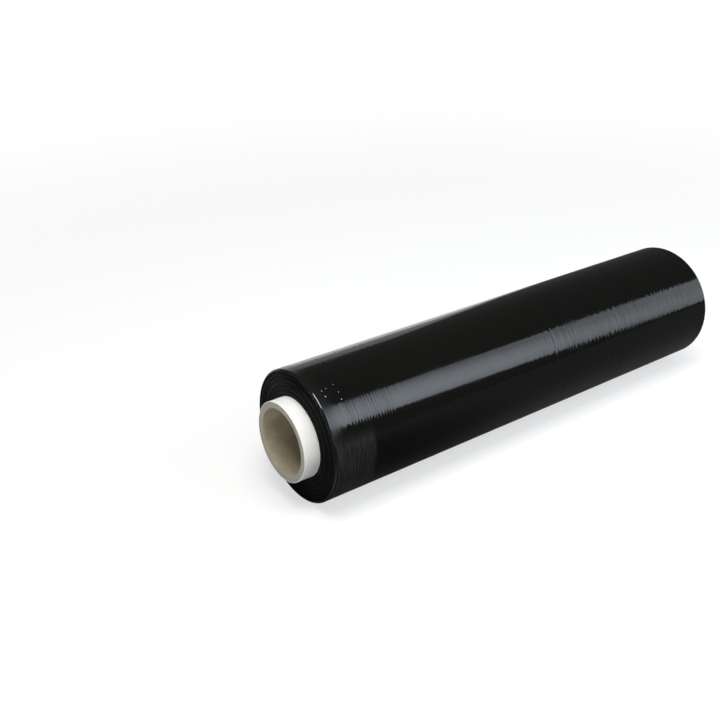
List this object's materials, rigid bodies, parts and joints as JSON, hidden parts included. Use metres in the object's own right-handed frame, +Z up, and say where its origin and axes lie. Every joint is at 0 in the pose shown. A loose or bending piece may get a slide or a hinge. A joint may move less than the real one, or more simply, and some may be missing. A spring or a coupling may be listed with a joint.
{
  "type": "stretch wrap roll",
  "caption": "Hand roll of glossy black stretch film wound on a white-faced paperboard core that stands proud at both ends.",
  "frame": {"origin": "middle of the flat spot on the underside, halfway along the roll", "axes": "+X along the roll's axis, +Z up out of the flat spot, +Y across the roll"},
  "size_m": [0.425, 0.1, 0.0995],
  "materials": {
    "film": "glossy black film, wound tight",
    "board": "greyish brown paperboard",
    "cover": "smooth white paper"
  },
  "bodies": {
    "root": {"film_roll": "film", "core_tube": "board", "core_cover": "cover"}
  },
  "joints": []
}
